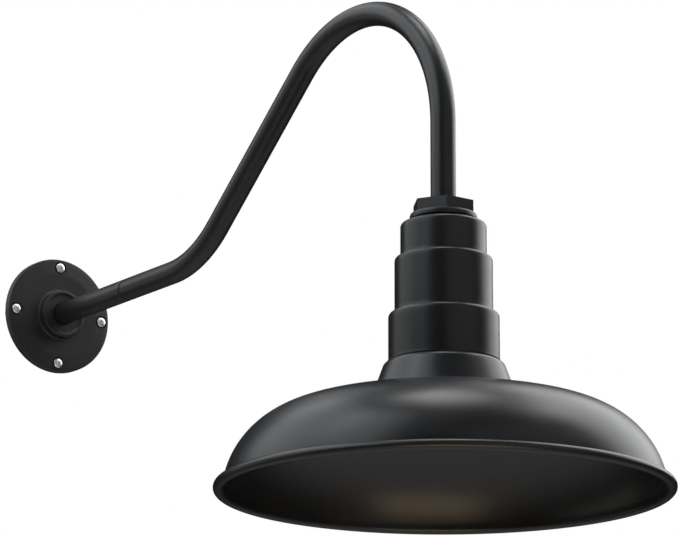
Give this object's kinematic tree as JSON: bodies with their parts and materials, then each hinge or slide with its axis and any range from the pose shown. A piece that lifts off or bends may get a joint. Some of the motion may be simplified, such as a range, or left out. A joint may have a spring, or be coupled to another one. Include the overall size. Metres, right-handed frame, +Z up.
{
  "type": "outdoor wall lantern",
  "caption": "Gooseneck wall lantern: a round wall plate carries a bent tube arm, a hexagonal hub and a stepped, domed shade that throws a screw-in bulb's light downwards.",
  "frame": {"origin": "centre of the wall plate's back, on the wall", "axes": "+X out of the wall, +Z up, +Y completes the right-handed set, to the right for someone standing in front of the wall and facing it"},
  "size_m": [0.7861, 0.3556, 0.4279],
  "materials": {
    "cast_paint": "black powder coat on a cast plate, fine orange peel, satin",
    "arm_paint": "black powder coat on tube and hub, satin",
    "shade_paint": "black powder coat on spun sheet, satin",
    "rubber": "black weather gasket rubber, matt",
    "zinc": "bright zinc plate",
    "green_zinc": "green dyed zinc, the mark of a ground screw",
    "black_steel": "black oxide on set screws",
    "plain_steel": "plain zinc-grey steel",
    "woven_sleeve": "white woven glass sleeving over two leads",
    "porcelain": "white glazed porcelain",
    "brass": "plain brass",
    "black_lead": "black lead insulation",
    "white_lead": "white lead insulation",
    "black_glass": "black vitreous insulator, glossy",
    "cap_metal": "nickel-plated bulb cap",
    "bulb_plastic": "white bulb housing",
    "bulb_opal": "opal diffuser"
  },
  "bodies": {
    "wall_mount": {"wall_plate": "cast_paint", "wall_gasket": "rubber", "mounting_screw_1": "zinc", "mounting_screw_2": "zinc", "mounting_screw_3": "zinc", "mounting_screw_4": "zinc", "ground_screw": "green_zinc", "boss_set_screw": "black_steel"},
    "arm": {"stub_tube": "arm_paint", "gooseneck_tube": "arm_paint", "joint_sleeve": "plain_steel", "arm_lead_sleeve": "woven_sleeve"},
    "head": {"hex_hub": "arm_paint", "hub_set_screw": "black_steel", "hub_nipple": "plain_steel", "hub_washer": "rubber", "shade": "shade_paint", "socket_bracket": "plain_steel", "hub_locknut": "zinc", "socket_body": "porcelain", "screw_shell": "brass", "centre_contact": "brass", "foot_screw_1": "zinc", "foot_screw_2": "zinc", "terminal_screw_1": "brass", "terminal_screw_2": "brass", "black_lead": "black_lead", "white_lead": "white_lead"},
    "bulb": {"bulb_tip_contact": "brass", "bulb_insulator": "black_glass", "bulb_cap": "cap_metal", "bulb_housing": "bulb_plastic", "bulb_diffuser": "bulb_opal"}
  },
  "joints": [
    {"name": "arm_turn", "type": "hinge", "parent": "wall_mount", "child": "arm", "pos_m": [0.01, 0, 0], "axis": [1, 0, 0], "range_deg": [-90, 90]},
    {"name": "head_turn", "type": "hinge", "parent": "arm", "child": "head", "pos_m": [0.5963, 0, -0.0317], "axis": [0, 0, 1], "range_deg": [-170, 170]},
    {"name": "bulb_unscrew", "type": "slide", "parent": "head", "child": "bulb", "axis": [0, 0, -1], "range_m": [0, 0.026]}
  ]
}
